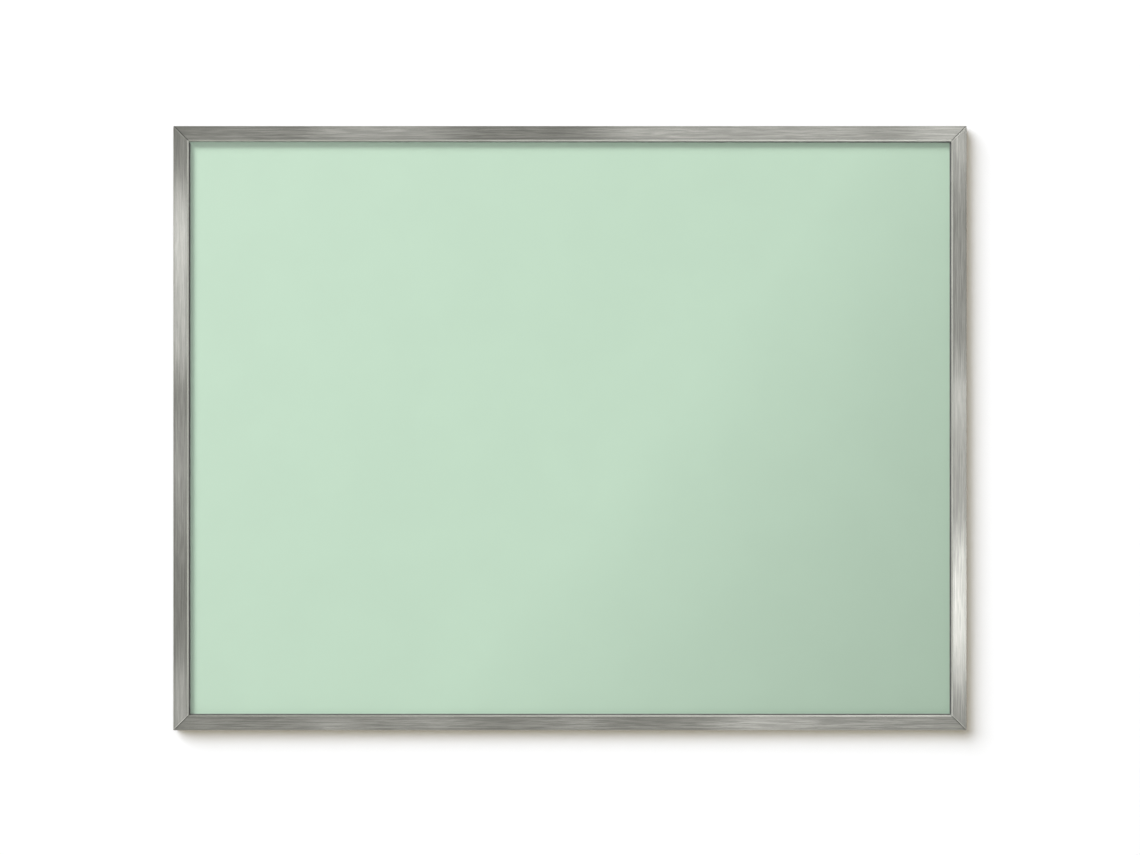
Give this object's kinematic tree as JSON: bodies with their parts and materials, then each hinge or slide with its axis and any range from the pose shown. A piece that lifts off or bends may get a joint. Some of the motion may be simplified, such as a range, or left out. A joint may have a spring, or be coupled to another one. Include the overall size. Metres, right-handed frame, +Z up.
{
  "type": "magnetic glass board",
  "caption": "Landscape magnetic glass writing board in a mitred brushed metal frame, hung on a concealed wall cleat that it lifts off.",
  "frame": {"origin": "middle of the wall cleat's back face, on the wall", "axes": "+X to the right of someone facing the board, +Y into the wall, +Z up; the glass faces -Y"},
  "size_m": [1.2, 0.0269, 0.914],
  "materials": {
    "frame_metal": "brushed along each length, clear anodised, with a bright inner bevel",
    "clear_glass": "clear toughened glass, polished face, seamed edges",
    "mint_enamel": "pale mint green coat on the back of the glass",
    "galvanised_steel": "galvanised sheet with faint spangle",
    "fibreboard": "dense fibreboard",
    "black_rubber": "matt black rubber",
    "spring_steel": "blued spring strip",
    "zinc_steel": "bright zinc plate",
    "cleat_metal": "mill finish extrusion"
  },
  "bodies": {
    "wall_side": {"wall_cleat": "cleat_metal"},
    "board": {"top_rail": "frame_metal", "bottom_rail": "frame_metal", "left_stile": "frame_metal", "right_stile": "frame_metal", "glass_panel": "clear_glass", "colour_coat": "mint_enamel", "steel_sheet": "galvanised_steel", "rear_sheet": "galvanised_steel", "core_board": "fibreboard", "gasket_top": "black_rubber", "gasket_bottom": "black_rubber", "gasket_left": "black_rubber", "gasket_right": "black_rubber", "bumper_left": "black_rubber", "bumper_right": "black_rubber", "panel_spring_top_1": "spring_steel", "panel_spring_top_2": "spring_steel", "panel_spring_top_3": "spring_steel", "panel_spring_bottom_1": "spring_steel", "panel_spring_bottom_2": "spring_steel", "panel_spring_bottom_3": "spring_steel", "panel_spring_left_1": "spring_steel", "panel_spring_left_2": "spring_steel", "panel_spring_right_1": "spring_steel", "panel_spring_right_2": "spring_steel", "corner_key_top_left": "zinc_steel", "corner_key_top_right": "zinc_steel", "corner_key_bottom_left": "zinc_steel", "corner_key_bottom_right": "zinc_steel", "key_screw_top_left_1": "zinc_steel", "key_screw_top_left_2": "zinc_steel", "key_screw_top_right_1": "zinc_steel", "key_screw_top_right_2": "zinc_steel", "key_screw_bottom_left_1": "zinc_steel", "key_screw_bottom_left_2": "zinc_steel", "key_screw_bottom_right_1": "zinc_steel", "key_screw_bottom_right_2": "zinc_steel", "cleat_screw_1": "zinc_steel", "cleat_screw_2": "zinc_steel", "cleat_screw_3": "zinc_steel", "cleat_screw_4": "zinc_steel", "cleat_screw_5": "zinc_steel", "board_cleat": "cleat_metal"}
  },
  "joints": [
    {"name": "board_lift", "type": "slide", "parent": "wall_side", "child": "board", "axis": [0, 0, 1], "range_m": [0, 0.012]}
  ]
}
